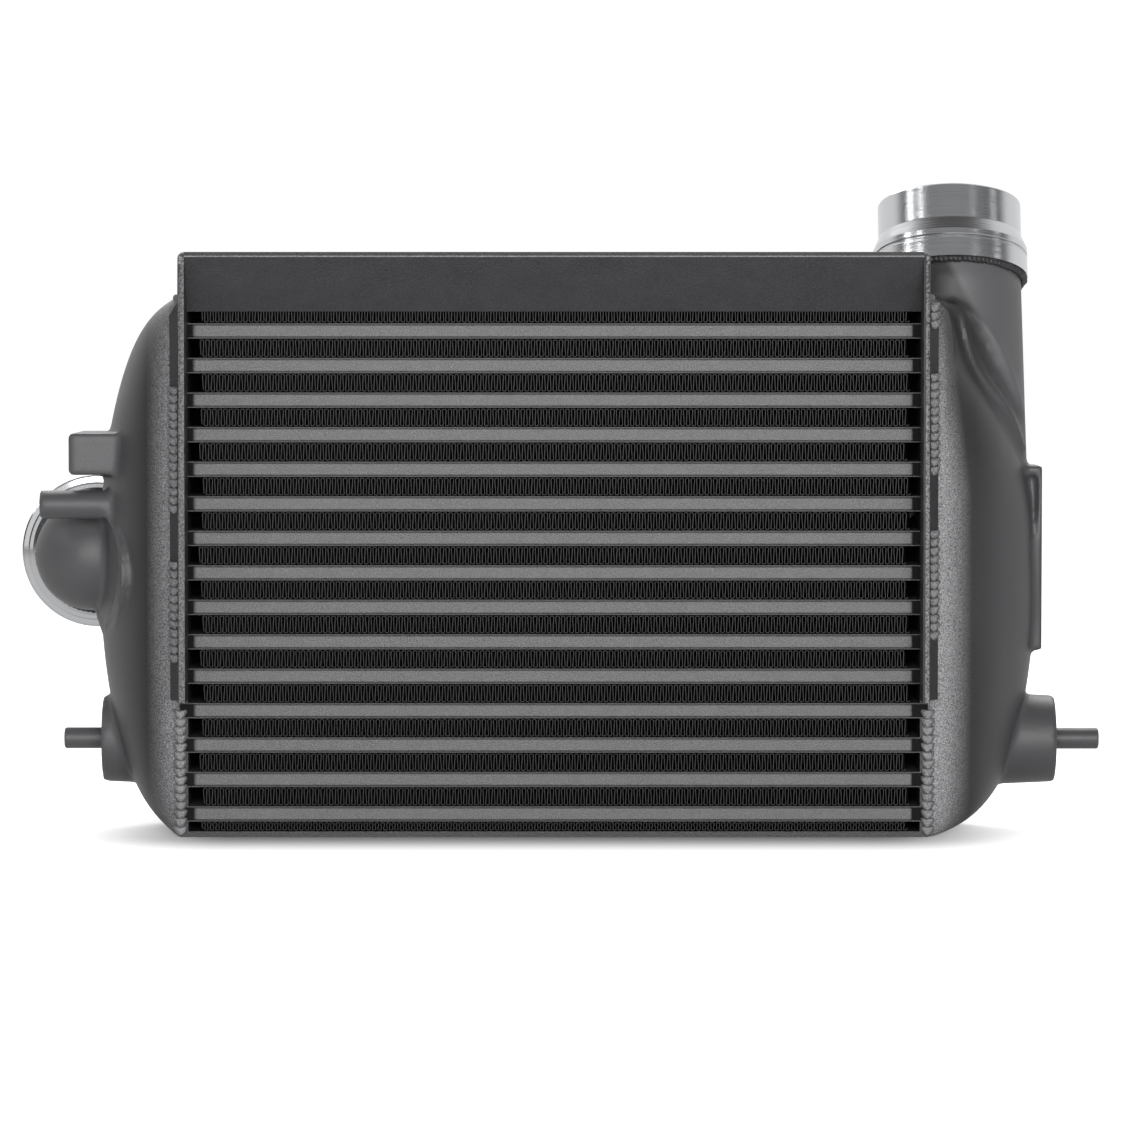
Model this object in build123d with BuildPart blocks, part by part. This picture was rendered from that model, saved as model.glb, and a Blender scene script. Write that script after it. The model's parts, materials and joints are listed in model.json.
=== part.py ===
"""Bar-and-plate charge-air cooler with two cast end tanks, welded port rings and a welded air-duct frame.

Frame: origin at the middle of the core's underside, +X towards the outlet tank, +Y towards the rear,
+Z up. All lengths are in millimetres.
"""

import os
from math import atan2, cos, radians, sin, tan

from build123d import *

os.makedirs("parts", exist_ok=True)

# ---------------------------------------------------------------- core
core_width = 390.0
core_depth = 95.0
charge_rows = 15
bar_height = 6.8  # height of a charge-air passage
bar_width = 8.0  # long bars, measured front to rear
bar_edge = 0.7  # broken edges on the outside of each long bar
sheet_thickness = 0.6  # separator sheets
side_sheet_thickness = 3.0
fin_height = 10.0
foot_fin_height = 5.2  # the lowest fin row is a low one
fin_pitch = 11.0  # one full wave
fin_thickness = 0.45
fin_inset = 9.0  # from the core's end to the first fold
fin_recess = 0.6  # behind the faces of the bars
end_bar_width = 4.0
turbulator_pitch = 13.0
turbulator_thickness = 0.4
turbulator_gap = 0.4  # between a long bar and the first fold

# ---------------------------------------------------------------- tanks
wall = 4.0
mouth_overrun = 1.0  # how far a tank's hollow is cut past the tank's open side
inlet_reach = 46.3  # from the core's end to the tank's furthest point
outlet_reach = 59.5
inlet_roundness = 2.1  # exponent of the rounded outline seen from the front
outlet_roundness = 2.6
end_reach = 5.0  # a tank's reach at its very top and bottom
rear_bias = 0.25  # how far the outermost line lies behind the middle, as a share of half the depth
front_fullness = 0.62  # how squarely a level section turns at the front
rear_fullness = 0.45
# Level sections stand at these angles round the outline, from -90 at the bottom to 90 at the top.
section_angles = (-90, -80, -66, -48, -25, 0, 25, 48, 66, 80, 90)
# The outlet tank's hollow shoulder in front of its neck: angle and share of the full reach.
shoulder_shares = {12: 0.98, 25: 0.88, 36: 0.71, 48: 0.47, 60: 0.35, 72: 0.27}

# ---------------------------------------------------------------- ports
inlet_neck_radius = 30.0
inlet_port_reach = 51.9  # from the core's end to the port's axis
inlet_port_height = 145.0
inlet_port_back = 10.5  # from the core's rear face to the end of the neck
inlet_neck_straight = 0.6  # round stretch of the inlet neck under its ring's weld
outlet_neck_radius = 37.5
outlet_port_reach = 16.0
outlet_port_offset = 24.0
outlet_port_rise = 10.3  # from the core's top to the end of the neck, on its axis
outlet_lean = 18.0  # degrees, backwards
neck_root_drop = 131.0  # below the core's top, where the outlet neck has sunk into its tank
neck_root_reach = 15.0
neck_root_offset = 6.0
neck_root_radii = (42.0, 38.0)
neck_straight = 10.0  # round stretch of the outlet neck under its ring
neck_gap = 0.4  # between the core's top and the underside of the outlet neck
collar_radius = 41.0
spigot_radius = 38.0
ring_bore = 32.5
ring_length = 41.0
collar_length = 15.5
groove_height = 11.2
groove_width = 1.6
groove_depth = 0.8
cone_length = 6.7
ring_chamfer = 0.8
ring_weld = 2.4  # leg of the fillet weld under each ring

# ---------------------------------------------------------------- bosses on the tanks
pin_height = 47.2
inlet_pin_offset = 18.0  # behind the middle of the core
outlet_pin_offset = 14.0
pin_radius = 5.6
pin_seat = 10.0  # length inside the boss
pin_seat_radius = 5.0  # the pin is stepped down inside the boss
pin_chamfer = 0.8
inlet_pin_length = 21.0
outlet_pin_length = 23.7
boss_radius = 23.0
boss_length = 34.0
boss_draft = 2.5
inlet_boss_end = 45.0  # from the core's end
outlet_boss_end = 71.0
peg_radius = 7.6
peg_height = 172.7
peg_offset = -16.0
peg_end = 75.7
peg_length = 48.0
lug_height = 22.0
lug_length = 70.0
lug_front = -25.0
lug_foot = 188.5
lug_root = 8.0  # from the core's end
lug_end = 60.0
lug_edge = 2.0
badge_radius = 33.4
badge_reach = 42.0  # from the core's end
badge_offset = -8.0
badge_height = 136.8
badge_turn = 18.0  # degrees that the badge seat faces forward
badge_rim = 3.0
badge_recess = 1.0
badge_depth = 9.0
badge_floor = 3.0  # thickness behind the recess
rail_foot = 95.0
rail_top = 193.0
rail_face = 63.2  # from the core's end
rail_thickness = 2.4
rail_width = 28.0
rail_web = 20.0
rail_end = 5.0

# ---------------------------------------------------------------- duct frame
frame_thickness = 3.5
frame_depth = 26.0  # how far the frame stands in front of the core
frame_setback = 0.6  # from the core's ends to the frame's outer faces
frame_foot = 72.0
frame_corner = 4.0
hood_thickness = 3.0
hood_angle = 47.5  # degrees, rising forwards
hood_edge = 2.3  # upright height of its front edge, which is ground down
hood_lap = 6.9  # how far the hood reaches down over the core's front

# ---------------------------------------------------------------- welds
bead_width = 6.8
bead_height = 1.6
frame_weld = 5.8  # leg of the welds along the frame's outer faces

# ---------------------------------------------------------------- worked out
half_width = core_width / 2
half_depth = core_depth / 2
row_height = bar_height + 2 * sheet_thickness
row_pitch = row_height + fin_height
first_row = side_sheet_thickness + foot_fin_height
core_height = first_row + charge_rows * row_pitch + side_sheet_thickness
middle_height = core_height / 2
row_levels = [first_row + row * row_pitch for row in range(charge_rows)]
fin_levels = [side_sheet_thickness] + [level + row_height for level in row_levels]
fin_heights = [foot_fin_height] + [fin_height] * charge_rows
fin_length = core_width - 2 * fin_inset
hood_foot = core_height - hood_lap
hood_rise = frame_depth * tan(radians(hood_angle))
hood_drop = hood_thickness / cos(radians(hood_angle))  # the hood's thickness measured upright
frame_top = hood_foot + hood_rise + hood_edge
frame_face = half_width - frame_setback  # outer faces of the frame plates
frame_front = half_depth + frame_depth
fin_depth = core_depth - 2 * fin_recess


def write(part, label):
    """Labels a finished piece and writes it to its own file."""
    part.label = label
    export_step(part, f"parts/{label}.step")


def folded_strip(length, height, pitch, thickness):
    """Closed outline of a strip folded to and fro, starting at x = 0, between z = 0 and height."""
    folds = 2 * max(1, round(length / pitch))
    step = length / folds
    slope = atan2(height, step)
    rise = thickness / cos(slope)
    low = [(i * step, 0 if i % 2 == 0 else height - rise) for i in range(folds + 1)]
    high = [(x, y + rise) for x, y in reversed(low)]
    return low + high


# ================================================================ core: side sheets and separator sheets
with BuildPart() as bottom_sheet:
    with BuildSketch(Plane.XY):
        Rectangle(core_width, core_depth)
    extrude(amount=side_sheet_thickness)
write(bottom_sheet.part, "bottom_sheet")

with BuildPart() as top_sheet:
    with BuildSketch(Plane.XY.offset(core_height - side_sheet_thickness)):
        Rectangle(core_width, core_depth)
    extrude(amount=side_sheet_thickness)
write(top_sheet.part, "top_sheet")

with BuildPart() as separator_sheets:
    for level in row_levels:
        for foot in (level, level + sheet_thickness + bar_height):
            with BuildSketch(Plane.XY.offset(foot)):
                Rectangle(core_width, core_depth)
            extrude(amount=sheet_thickness)
write(separator_sheets.part, "separator_sheets")

# ================================================================ core: long bars, two a row
for row, level in enumerate(row_levels, start=1):
    with BuildPart() as charge_bars:
        with BuildSketch(Plane.YZ.offset(-half_width)):
            for side in (-1, 1):
                with Locations((side * (half_depth - bar_width / 2), level + row_height / 2)):
                    Rectangle(bar_width, bar_height)
        extrude(amount=core_width)
        outer = charge_bars.edges().filter_by(Axis.X).filter_by(
            lambda edge: abs(abs(edge.center().Y) - half_depth) < bar_width / 4
        )
        chamfer(outer, length=bar_edge)
    write(charge_bars.part, f"charge_bars_{row:02d}")

# ================================================================ core: end bars that close the fin rows
for name, side in (("inlet_end_bars", -1), ("outlet_end_bars", 1)):
    with BuildPart() as end_bars:
        for level, height in zip(fin_levels, fin_heights):
            with BuildSketch(Plane.XY.offset(level)):
                with Locations((side * (half_width - end_bar_width / 2), 0)):
                    Rectangle(end_bar_width, core_depth)
            extrude(amount=height)
    write(end_bars.part, name)

# ================================================================ core: folded cooling fins, one strip a row
for row, (level, height) in enumerate(zip(fin_levels, fin_heights), start=1):
    with BuildPart() as cooling_fins:
        strip_plane = Plane(
            origin=(-fin_length / 2, fin_depth / 2, level), x_dir=(1, 0, 0), z_dir=(0, -1, 0)
        )
        with BuildSketch(strip_plane):
            with BuildLine():
                Polyline(*folded_strip(fin_length, height, fin_pitch, fin_thickness), close=True)
            make_face()
        extrude(amount=fin_depth)
    write(cooling_fins.part, f"cooling_fins_{row:02d}")

# ================================================================ core: folded turbulators in the passages
turbulator_width = core_depth - 2 * (bar_width + turbulator_gap)
with BuildPart() as turbulators:
    for level in row_levels:
        strip_plane = Plane(
            origin=(-half_width, -turbulator_width / 2, level + sheet_thickness),
            x_dir=(0, 1, 0),
            z_dir=(1, 0, 0),
        )
        with BuildSketch(strip_plane):
            with BuildLine():
                Polyline(
                    *folded_strip(
                        turbulator_width, bar_height, turbulator_pitch, turbulator_thickness
                    ),
                    close=True,
                )
            make_face()
        extrude(amount=core_width)
write(turbulators.part, "turbulators")


# ================================================================ tanks
def rounded_share(angle, roundness):
    """Share of a tank's full reach at an angle of its outline, which is a rounded arch."""
    return (1 - abs(sin(radians(angle))) ** roundness) ** (1 / roundness)


def tank_levels(reach, shares, skin):
    """(level, reach) pairs of the outside of a tank, or of its hollow when skin is its wall."""
    half = middle_height - skin
    return [
        (middle_height + half * sin(radians(angle)), max(end_reach, (reach - skin) * share))
        for angle, share in sorted(shares.items())
    ]


def tank_section(side, reach, depth, inset):
    """Lines of one level section: flat against the core, full at the front and rear, round outside."""
    start = side * (half_width - inset)
    end = side * (half_width + reach)
    shoulder = start + front_fullness * (end - start)
    furthest = rear_bias * depth
    Bezier((start, -depth), (shoulder, -depth), (end, furthest - front_fullness * depth), (end, furthest))
    Bezier((end, furthest), (end, furthest + rear_fullness * depth), (shoulder, depth), (start, depth))
    Line((start, depth), (start, -depth))


inlet_shares = {angle: rounded_share(angle, inlet_roundness) for angle in section_angles}
outlet_shares = {angle: rounded_share(angle, outlet_roundness) for angle in section_angles if angle <= 0}
outlet_shares |= shoulder_shares | {90: 0}

# The neck's elbow lies far enough in front of its port to keep clear of the ring's weld.
inlet_neck_run = inlet_neck_radius + ring_weld + inlet_neck_straight
inlet_neck_offset = half_depth + inlet_port_back - inlet_neck_run
inlet_plane = Plane(
    origin=(-half_width - inlet_port_reach, half_depth + inlet_port_back, inlet_port_height),
    x_dir=(1, 0, 0),
    z_dir=(0, 1, 0),
)
outlet_plane = Plane(
    origin=(half_width + outlet_port_reach, outlet_port_offset, core_height + outlet_port_rise),
    x_dir=(1, 0, 0),
    z_dir=(0, sin(radians(outlet_lean)), cos(radians(outlet_lean))),
)
inlet_elbow_plane = Plane(
    origin=(-half_width - inlet_port_reach, inlet_neck_offset, inlet_port_height),
    x_dir=(0, 1, 0),
    z_dir=(1, 0, 0),
)
inlet_boss_plane = Plane(
    origin=(-half_width - inlet_boss_end, inlet_pin_offset, pin_height), x_dir=(0, 1, 0), z_dir=(-1, 0, 0)
)
outlet_boss_plane = Plane(
    origin=(half_width + outlet_boss_end, outlet_pin_offset, pin_height), x_dir=(0, 1, 0), z_dir=(1, 0, 0)
)
peg_plane = Plane(
    origin=(-half_width - peg_end, peg_offset, peg_height), x_dir=(0, 1, 0), z_dir=(1, 0, 0)
)
badge_plane = Plane(
    origin=(-half_width - badge_reach, badge_offset, badge_height),
    x_dir=(0, 0, 1),
    z_dir=(-cos(radians(badge_turn)), -sin(radians(badge_turn)), 0),
)
neck_root_plane = Plane.XY.offset(core_height - neck_root_drop)
neck_root_place = (half_width + neck_root_reach, neck_root_offset)
rail_reach = rail_face - outlet_reach + 2 * wall
rail_x = half_width + rail_face - rail_reach / 2
rail_y = rear_bias * half_depth

# inlet tank: a casting with an elbow neck, a pin boss, a peg, a lug and a round badge seat
with BuildPart() as inlet_hollow:
    for level, reach in tank_levels(inlet_reach, inlet_shares, wall):
        with BuildSketch(Plane.XY.offset(level)):
            with BuildLine():
                tank_section(-1, reach, half_depth - wall, mouth_overrun)
            make_face()
    loft()

with BuildPart() as inlet_tank:
    for level, reach in tank_levels(inlet_reach, inlet_shares, 0):
        with BuildSketch(Plane.XY.offset(level)):
            with BuildLine():
                tank_section(-1, reach, half_depth, 0)
            make_face()
    loft()
    # plain round badge seat with a raised rim
    with BuildSketch(badge_plane):
        Circle(badge_radius)
    extrude(amount=-badge_depth)
    with BuildSketch(badge_plane.offset(-badge_recess)):
        Circle(badge_radius - badge_rim)
    extrude(amount=badge_depth, mode=Mode.SUBTRACT)
    # elbow neck: it leaves the tank sideways and turns to the rear
    with BuildSketch(inlet_elbow_plane):
        Circle(inlet_neck_radius)
    extrude(amount=inlet_port_reach - wall)
    with Locations(inlet_elbow_plane.origin):
        Sphere(inlet_neck_radius)
    with BuildSketch(inlet_plane):
        Circle(inlet_neck_radius)
    extrude(amount=-inlet_neck_run)
    # pin boss
    with BuildSketch(inlet_boss_plane):
        Circle(boss_radius)
    extrude(amount=-boss_length, taper=-boss_draft)
    # peg
    with BuildSketch(peg_plane):
        Circle(peg_radius)
    extrude(amount=peg_length)
    # lug
    with BuildSketch(Plane(origin=(0, lug_front, 0), x_dir=(1, 0, 0), z_dir=(0, -1, 0))):
        with Locations((-(half_width + (lug_root + lug_end) / 2), lug_foot + lug_height / 2)):
            RectangleRounded(lug_end - lug_root, lug_height, lug_edge)
    extrude(amount=-lug_length)
    add(inlet_hollow.part, mode=Mode.SUBTRACT)
    # floor of the badge seat, which lies deeper than the tank's wall
    with BuildSketch(badge_plane.offset(-badge_recess)):
        Circle(badge_radius)
    extrude(amount=-badge_floor)
    with BuildSketch(inlet_elbow_plane):
        Circle(inlet_neck_radius - wall)
    extrude(amount=inlet_port_reach - 2 * wall, mode=Mode.SUBTRACT)
    with Locations(inlet_elbow_plane.origin):
        Sphere(inlet_neck_radius - wall, mode=Mode.SUBTRACT)
    with BuildSketch(inlet_plane):
        Circle(inlet_neck_radius - wall)
    extrude(amount=-inlet_neck_run, mode=Mode.SUBTRACT)
    with BuildSketch(inlet_boss_plane):
        Circle(pin_seat_radius)
    extrude(amount=-pin_seat, mode=Mode.SUBTRACT)
write(inlet_tank.part, "inlet_tank")

# outlet tank: its neck rises out of the shoulder, passes over the core's corner and is cut clear of it
with BuildPart() as outlet_neck:
    with BuildSketch(neck_root_plane):
        with Locations(neck_root_place):
            Ellipse(*neck_root_radii)
    with BuildSketch(outlet_plane.offset(-neck_straight)):
        Circle(outlet_neck_radius)
    loft()
    with BuildSketch(outlet_plane):
        Circle(outlet_neck_radius)
    extrude(amount=-neck_straight)
    with BuildSketch(Plane.XY):
        Rectangle(core_width, 2 * core_depth)
    extrude(amount=core_height + neck_gap, mode=Mode.SUBTRACT)

with BuildPart() as outlet_bore:
    with BuildSketch(neck_root_plane):
        with Locations(neck_root_place):
            Ellipse(neck_root_radii[0] - wall, neck_root_radii[1] - wall)
    with BuildSketch(outlet_plane.offset(-neck_straight)):
        Circle(outlet_neck_radius - wall)
    loft()
    with BuildSketch(outlet_plane):
        Circle(outlet_neck_radius - wall)
    extrude(amount=-neck_straight)
    with BuildSketch(Plane.XY):
        Rectangle(core_width + 2 * wall, 2 * core_depth)
    extrude(amount=core_height + neck_gap + wall, mode=Mode.SUBTRACT)

with BuildPart() as outlet_hollow:
    for level, reach in tank_levels(outlet_reach, outlet_shares, wall):
        with BuildSketch(Plane.XY.offset(level)):
            with BuildLine():
                tank_section(1, reach, half_depth - wall, mouth_overrun)
            make_face()
    loft()

with BuildPart() as outlet_tank:
    for level, reach in tank_levels(outlet_reach, outlet_shares, 0):
        with BuildSketch(Plane.XY.offset(level)):
            with BuildLine():
                tank_section(1, reach, half_depth, 0)
            make_face()
    loft()
    add(outlet_neck.part)
    # pin boss
    with BuildSketch(outlet_boss_plane):
        Circle(boss_radius)
    extrude(amount=-boss_length, taper=-boss_draft)
    # slide rail on the outermost line: a web, a wider face and two closed ends
    with BuildSketch(Plane.XY.offset(rail_foot)):
        with Locations((rail_x, rail_y)):
            Rectangle(rail_reach, rail_web)
        with Locations((half_width + rail_face - rail_thickness / 2, rail_y)):
            Rectangle(rail_thickness, rail_width)
    extrude(amount=rail_top - rail_foot)
    for foot in (rail_foot, rail_top - rail_end):
        with BuildSketch(Plane.XY.offset(foot)):
            with Locations((rail_x, rail_y)):
                Rectangle(rail_reach, rail_width)
        extrude(amount=rail_end)
    add(outlet_hollow.part, mode=Mode.SUBTRACT)
    add(outlet_bore.part, mode=Mode.SUBTRACT)
    with BuildSketch(outlet_boss_plane):
        Circle(pin_seat_radius)
    extrude(amount=-pin_seat, mode=Mode.SUBTRACT)
write(outlet_tank.part, "outlet_tank")

# ================================================================ machined port rings
ring_outline = (
    (collar_radius - ring_chamfer, 0),
    (collar_radius, ring_chamfer),
    (collar_radius, groove_height - groove_width / 2),
    (collar_radius - groove_depth, groove_height),
    (collar_radius, groove_height + groove_width / 2),
    (collar_radius, collar_length),
    (spigot_radius, collar_length + cone_length),
    (spigot_radius, ring_length - ring_chamfer),
    (spigot_radius - ring_chamfer, ring_length),
    (ring_bore, ring_length),
    (ring_bore, collar_length),
)
for name, plane, neck_radius in (
    ("inlet_ring", inlet_plane, inlet_neck_radius),
    ("outlet_ring", outlet_plane, outlet_neck_radius),
):
    # the bore is tapered at its foot, down to the bore of the neck
    with BuildPart() as ring:
        with BuildSketch(Plane(origin=plane.origin, x_dir=plane.x_dir, z_dir=-plane.y_dir)):
            with BuildLine():
                Polyline((neck_radius - wall, 0), *ring_outline, close=True)
            make_face()
        revolve(axis=Axis(plane.origin, plane.z_dir))
    write(ring.part, name)

for name, plane, neck_radius in (
    ("inlet_ring_weld", inlet_plane, inlet_neck_radius),
    ("outlet_ring_weld", outlet_plane, outlet_neck_radius),
):
    with BuildPart() as weld:
        with BuildSketch(Plane(origin=plane.origin, x_dir=plane.x_dir, z_dir=-plane.y_dir)):
            with BuildLine():
                foot = neck_radius + ring_weld
                Polyline((neck_radius, 0), (foot, 0), (neck_radius, -ring_weld), close=True)
            make_face()
        revolve(axis=Axis(plane.origin, plane.z_dir))
    write(weld.part, name)

# ================================================================ mounting pins, pressed into their bosses
for name, plane, length in (
    ("inlet_pin", inlet_boss_plane, inlet_pin_length),
    ("outlet_pin", outlet_boss_plane, outlet_pin_length),
):
    with BuildPart() as pin:
        with BuildSketch(plane.offset(-pin_seat)):
            Circle(pin_seat_radius)
        extrude(amount=pin_seat)
        with BuildSketch(plane):
            Circle(pin_radius)
        extrude(amount=length)
        end_face = pin.faces().sort_by(Axis(plane.origin, plane.z_dir))[-1]
        chamfer(end_face.edges(), length=pin_chamfer)
    write(pin.part, name)

# ================================================================ duct frame in front of the core
for name, side in (("inlet_frame_plate", -1), ("outlet_frame_plate", 1)):
    with BuildPart() as frame_plate:
        with BuildSketch(Plane.YZ.offset(side * frame_face)):
            with Locations((-half_depth - frame_depth / 2, (frame_foot + frame_top) / 2)):
                Rectangle(frame_depth, frame_top - frame_foot)
        extrude(amount=-side * frame_thickness)
        front_top = frame_plate.edges().filter_by(Axis.X).sort_by(Axis.Z)[-2:].sort_by(Axis.Y)[0]
        fillet(front_top, radius=frame_corner)
    write(frame_plate.part, name)

with BuildPart() as hood:
    with BuildSketch(Plane.YZ.offset(frame_thickness - frame_face)):
        with BuildLine():
            Polyline(
                (-half_depth, hood_foot),
                (-frame_front, hood_foot + hood_rise),
                (-frame_front, frame_top),
                (-half_depth, hood_foot + hood_drop),
                close=True,
            )
        make_face()
    extrude(amount=2 * (frame_face - frame_thickness))
write(hood.part, "hood")

# ================================================================ weld seams between core and tanks
def bead_outline(seam, foot, rise):
    """Lines of a low arched bead that stands on a face at foot, over a seam."""
    left = (seam - bead_width / 2, foot)
    right = (seam + bead_width / 2, foot)
    ThreePointArc(left, (seam, foot + rise), right)
    Line(right, left)


for name, side in (("inlet_tank_weld", -1), ("outlet_tank_weld", 1)):
    seam = side * half_width
    with BuildPart() as weld:
        # front seam, up to the foot of the frame
        with BuildSketch(Plane.XY):
            with BuildLine():
                bead_outline(seam, -half_depth, -bead_height)
            make_face()
        extrude(amount=frame_foot)
        # rear seam
        with BuildSketch(Plane.XY):
            with BuildLine():
                bead_outline(seam, half_depth, bead_height)
            make_face()
        extrude(amount=core_height)
        # round corner and top seam
        with BuildSketch(Plane.XY.offset(core_height)):
            with BuildLine():
                bead_outline(seam, half_depth, bead_height)
            make_face()
        revolve(axis=Axis((seam, half_depth, core_height), (1, 0, 0)), revolution_arc=90)
        with BuildSketch(Plane.XZ.offset(-half_depth)):
            with BuildLine():
                bead_outline(seam, core_height, bead_height)
            make_face()
        extrude(amount=core_depth)
        # the outlet seam stops where the neck passes over it
        if side == 1:
            add(outlet_tank.part, mode=Mode.SUBTRACT)
    write(weld.part, name)

# ================================================================ welds along the frame's outer faces
for name, side in (("inlet_frame_weld", -1), ("outlet_frame_weld", 1)):
    with BuildPart() as weld:
        with BuildSketch(Plane.XY.offset(frame_foot)):
            with BuildLine():
                Polyline(
                    (side * frame_face, -half_depth),
                    (side * frame_face, -half_depth - frame_weld),
                    (side * (frame_face + frame_weld), -half_depth),
                    close=True,
                )
            make_face()
        extrude(amount=core_height - frame_foot)
    write(weld.part, name)
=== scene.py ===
import json
from math import cos, pi, radians, sin

import bmesh
import bpy
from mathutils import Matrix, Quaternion, Vector


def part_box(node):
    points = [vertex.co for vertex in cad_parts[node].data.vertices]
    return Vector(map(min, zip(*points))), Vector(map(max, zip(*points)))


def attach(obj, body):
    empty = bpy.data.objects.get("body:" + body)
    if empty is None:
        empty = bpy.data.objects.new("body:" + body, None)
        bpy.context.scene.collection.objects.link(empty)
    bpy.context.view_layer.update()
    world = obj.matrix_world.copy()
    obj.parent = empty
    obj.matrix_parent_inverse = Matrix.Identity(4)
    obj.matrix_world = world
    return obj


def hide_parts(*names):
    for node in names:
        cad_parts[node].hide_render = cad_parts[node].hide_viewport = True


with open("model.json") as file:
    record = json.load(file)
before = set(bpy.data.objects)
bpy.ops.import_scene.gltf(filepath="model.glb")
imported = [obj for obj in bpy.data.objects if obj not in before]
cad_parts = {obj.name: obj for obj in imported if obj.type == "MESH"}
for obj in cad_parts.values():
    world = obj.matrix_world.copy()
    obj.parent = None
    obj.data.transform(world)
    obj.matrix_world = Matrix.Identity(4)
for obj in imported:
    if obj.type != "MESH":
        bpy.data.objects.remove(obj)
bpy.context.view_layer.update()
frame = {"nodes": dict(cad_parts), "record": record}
nodes = frame["nodes"]
mm = 0.001
hair = 0.01 * mm  # places nearer than this are the same place
sides = {"inlet": -1, "outlet": 1}  # which way each tank lies along X


# small helpers for selecting, shaping and finishing a piece

def activate(piece):
    bpy.ops.object.select_all(action="DESELECT")
    piece.select_set(True)
    bpy.context.view_layer.objects.active = piece


def pick(piece, kind, test):  # selects the corners or the edges whose place passes the test
    bpy.ops.mesh.select_mode(type=kind)
    bpy.ops.mesh.select_all(action="DESELECT")
    work = bmesh.from_edit_mesh(piece.data)
    if kind == "VERT":
        for vert in work.verts:
            vert.select_set(bool(test(vert.co)))
    else:
        for edge in work.edges:
            edge.select_set(bool(test((edge.verts[0].co + edge.verts[1].co) / 2)))
    bmesh.update_edit_mesh(piece.data)


def shapeWith(piece, kind, settings):  # adds a modifier and applies it
    activate(piece)
    modifier = piece.modifiers.new(kind.title(), kind)
    for name, value in settings.items():
        setattr(modifier, name, value)
    bpy.ops.object.modifier_apply(modifier=modifier.name)


def placeMesh(piece):  # puts the object at the origin, with its place in its mesh
    activate(piece)
    bpy.ops.object.transform_apply(location=True, rotation=True, scale=True)


def faceOutwards(piece):
    activate(piece)
    bpy.ops.object.mode_set(mode="EDIT")
    bpy.ops.mesh.select_all(action="SELECT")
    bpy.ops.mesh.normals_make_consistent(inside=False)
    bpy.ops.object.mode_set(mode="OBJECT")


def copyOf(piece, name):
    twin = piece.copy()
    twin.data = piece.data.copy()
    twin.name = name
    bpy.context.scene.collection.objects.link(twin)
    return twin


def cadCopy(node, name):  # a copy of a CAD node, with its loose triangles merged and left in edit mode
    piece = copyOf(nodes[node], name)
    piece.parent = None
    activate(piece)
    bpy.ops.object.mode_set(mode="EDIT")
    bpy.ops.mesh.select_all(action="SELECT")
    bpy.ops.mesh.remove_doubles(threshold=hair / 5)
    return piece


def joinPieces(parts, name):
    bpy.ops.object.select_all(action="DESELECT")
    for part in parts:
        part.select_set(True)
    bpy.context.view_layer.objects.active = parts[0]
    bpy.ops.object.join()
    parts[0].name = name
    return parts[0]


def roughTexture(name, size):  # lumps of about this size in mm
    texture = bpy.data.textures.new(name, "CLOUDS")
    texture.noise_scale = size * mm
    texture.noise_depth = 1
    return texture


def roughen(piece, texture, strength, direction="NORMAL"):
    shapeWith(piece, "DISPLACE", {
        "texture": texture, "texture_coords": "LOCAL", "direction": direction, "mid_level": 0.5,
        "strength": strength * mm})


def finish(piece, material, stands, angle=35):
    activate(piece)
    bpy.ops.object.shade_smooth_by_angle(angle=radians(angle))
    piece.data.materials.clear()
    piece.data.materials.append(material)
    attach(piece, "root")
    if stands:
        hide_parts(*stands)


# finishes

def toLinear(hexColour):  # sRGB hex to the linear colour that a shader takes
    values = [int(hexColour[i:i + 2], 16) / 255 for i in (1, 3, 5)]
    return [v / 12.92 if v <= 0.04045 else ((v + 0.055) / 1.055) ** 2.4 for v in values] + [1]


def addNode(tree, kind, settings, links):
    node = tree.nodes.new(kind)
    for name, value in settings.items():
        if isinstance(name, int) or name in node.inputs:
            node.inputs[name].default_value = value
        else:
            setattr(node, name, value)
    for name, source in links.items():
        tree.links.new(source, node.inputs[name])
    return node


def startFinish(name, settings):  # a new material with its shader, and its own coordinates
    material = bpy.data.materials.new(name)
    material.use_nodes = True
    tree = material.node_tree
    shader = tree.nodes["Principled BSDF"]
    for socket, value in settings.items():
        shader.inputs[socket].default_value = value
    place = addNode(tree, "ShaderNodeTexCoord", {}, {}).outputs["Object"]
    return material, tree, shader, place


sprayCoat = {"ior": 1.5, "roughSpread": 0.05}
seamHighlightStrip = {  # painted highlight beside the seams of a tank: heights between which it narrows and where it ends, mm
    "narrows": (180, 280), "ends": (278, 285), "neckSlant": 2, "neckFade": 8}
cornerShade = {"before": 0.7, "fade": 1.5}  # mm round the place where a bar's corner starts


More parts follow.
